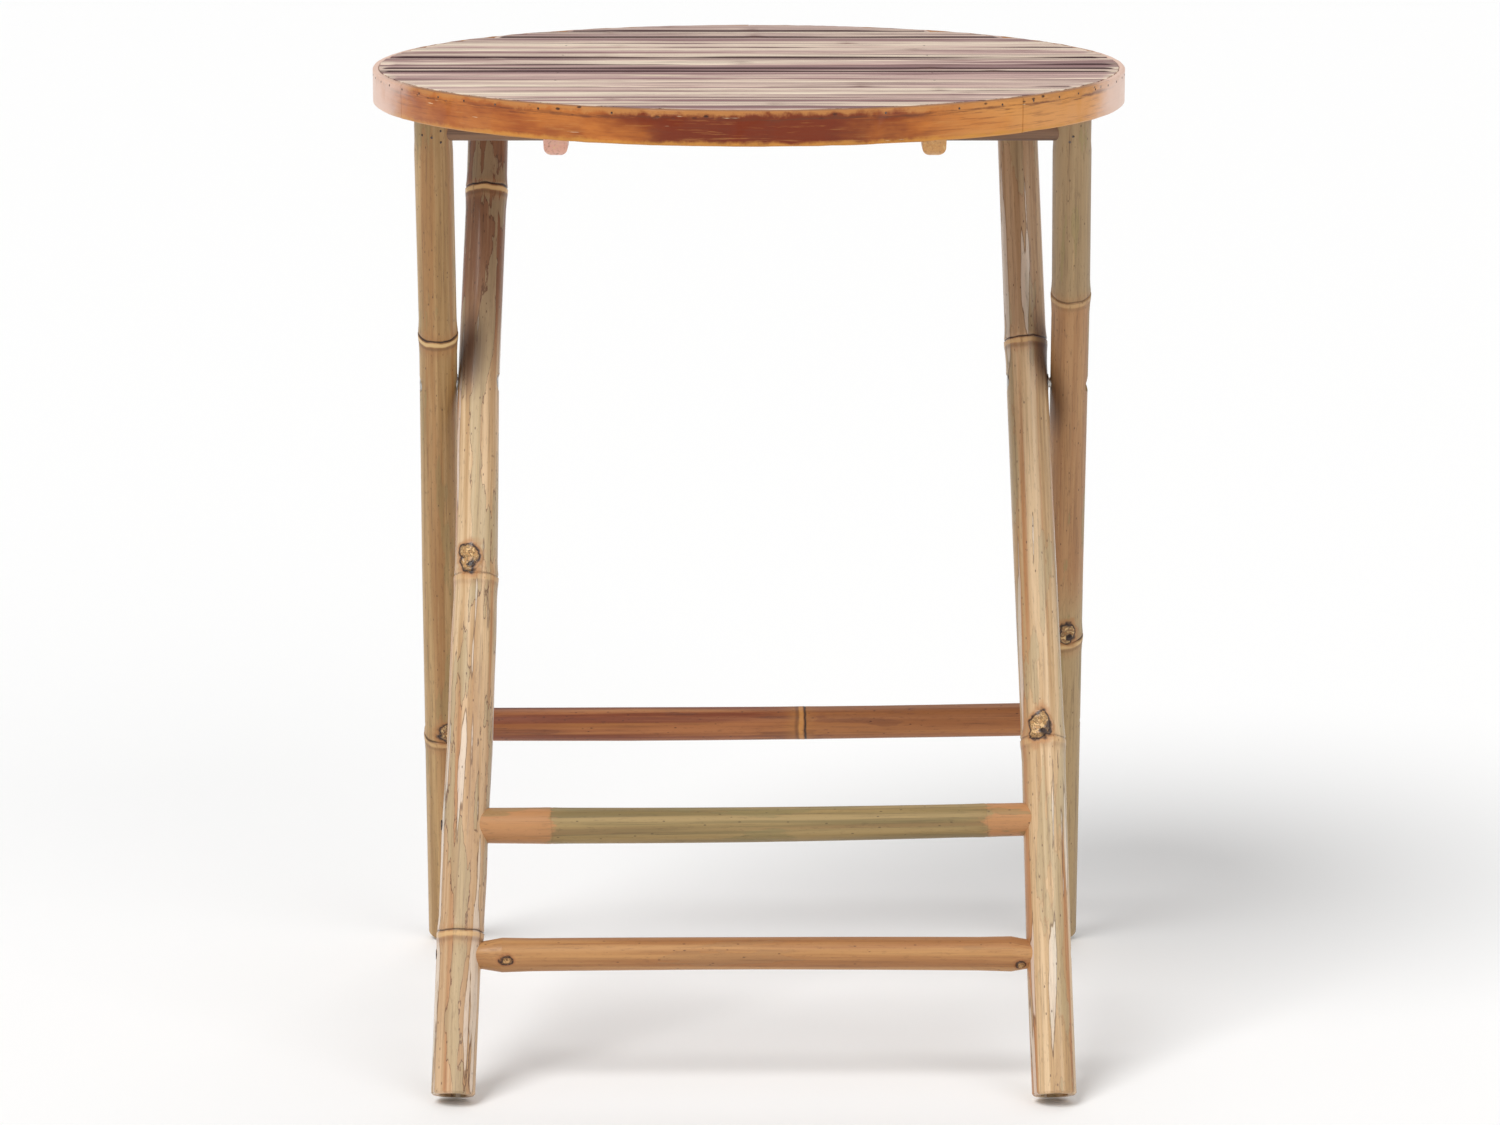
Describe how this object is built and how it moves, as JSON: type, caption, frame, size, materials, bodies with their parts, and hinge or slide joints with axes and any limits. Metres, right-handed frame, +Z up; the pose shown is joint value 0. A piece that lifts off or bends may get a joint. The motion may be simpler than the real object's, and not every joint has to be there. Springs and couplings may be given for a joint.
{
  "type": "folding table",
  "caption": "Round folding bamboo table: slatted disc top with a bent rim, on two crossed leg frames with stretchers, which fold as the top tips up.",
  "frame": {"origin": "on the floor, under the middle of the round top", "axes": "+Z up, +Y to the back, +X to the right seen from the front"},
  "size_m": [0.58, 0.58, 0.764],
  "materials": {
    "steel_nail": "dull, slightly rusted",
    "pivot_steel": "plain steel, satin",
    "plug_wood": "bare wood",
    "slat_bamboo": "worn varnish, satin",
    "rim_bamboo": "orange varnish, glossy",
    "bearer_wood": "planed wood, satin",
    "rail_bamboo": "varnished, satin",
    "outer_leg_bamboo": "varnished olive bamboo, glossy",
    "inner_leg_bamboo": "varnished tan bamboo, glossy",
    "back_stretcher_bamboo": "varnished red-brown bamboo",
    "upper_stretcher_bamboo": "varnished olive bamboo",
    "lower_stretcher_bamboo": "varnished tan-brown bamboo"
  },
  "bodies": {
    "outer_frame": {"outer_leg_left": "outer_leg_bamboo", "outer_leg_right": "outer_leg_bamboo", "outer_rail_brads": "steel_nail", "outer_stretcher": "back_stretcher_bamboo", "outer_stretcher_plugs": "plug_wood", "outer_stretcher_screws": "steel_nail", "outer_top_rail": "rail_bamboo", "pivot_nut_left": "pivot_steel", "pivot_nut_right": "pivot_steel", "pivot_screw_left": "pivot_steel", "pivot_screw_right": "pivot_steel", "pivot_washer_left": "pivot_steel", "pivot_washer_right": "pivot_steel"},
    "inner_frame": {"inner_leg_left": "inner_leg_bamboo", "inner_leg_right": "inner_leg_bamboo", "inner_lower_stretcher": "lower_stretcher_bamboo", "inner_lower_stretcher_plugs": "plug_wood", "inner_lower_stretcher_screws": "steel_nail", "inner_rail_brads": "steel_nail", "inner_top_rail": "rail_bamboo", "inner_upper_stretcher": "upper_stretcher_bamboo", "inner_upper_stretcher_plugs": "plug_wood", "inner_upper_stretcher_screws": "steel_nail"},
    "tabletop": {"bearer_left": "bearer_wood", "bearer_right": "bearer_wood", "rim_brads": "steel_nail", "rim_strip_front": "rim_bamboo", "rim_strip_left": "rim_bamboo", "rim_strip_right": "rim_bamboo", "slat_01": "slat_bamboo", "slat_02": "slat_bamboo", "slat_03": "slat_bamboo", "slat_04": "slat_bamboo", "slat_05": "slat_bamboo", "slat_06": "slat_bamboo", "slat_07": "slat_bamboo", "slat_08": "slat_bamboo", "slat_09": "slat_bamboo", "slat_10": "slat_bamboo", "slat_11": "slat_bamboo", "slat_12": "slat_bamboo", "slat_13": "slat_bamboo", "slat_14": "slat_bamboo", "slat_15": "slat_bamboo", "slat_16": "slat_bamboo", "slat_17": "slat_bamboo", "slat_18": "slat_bamboo", "slat_19": "slat_bamboo", "slat_20": "slat_bamboo", "slat_21": "slat_bamboo", "slat_22": "slat_bamboo", "slat_23": "slat_bamboo", "slat_24": "slat_bamboo", "slat_brads_left": "steel_nail", "slat_brads_right": "steel_nail"}
  },
  "joints": [
    {"name": "leg_fold", "type": "hinge", "parent": "outer_frame", "child": "inner_frame", "pos_m": [0, 0, 0.5149], "axis": [1, 0, 0], "range_deg": [0, 40]},
    {"name": "top_fold", "type": "hinge", "parent": "outer_frame", "child": "tabletop", "pos_m": [0, -0.09543, 0.7267], "axis": [1, 0, 0], "range_deg": [0, 104]}
  ],
  "couplings": [
    {"joint": "top_fold", "follows": "leg_fold", "ratio": 2.6}
  ]
}
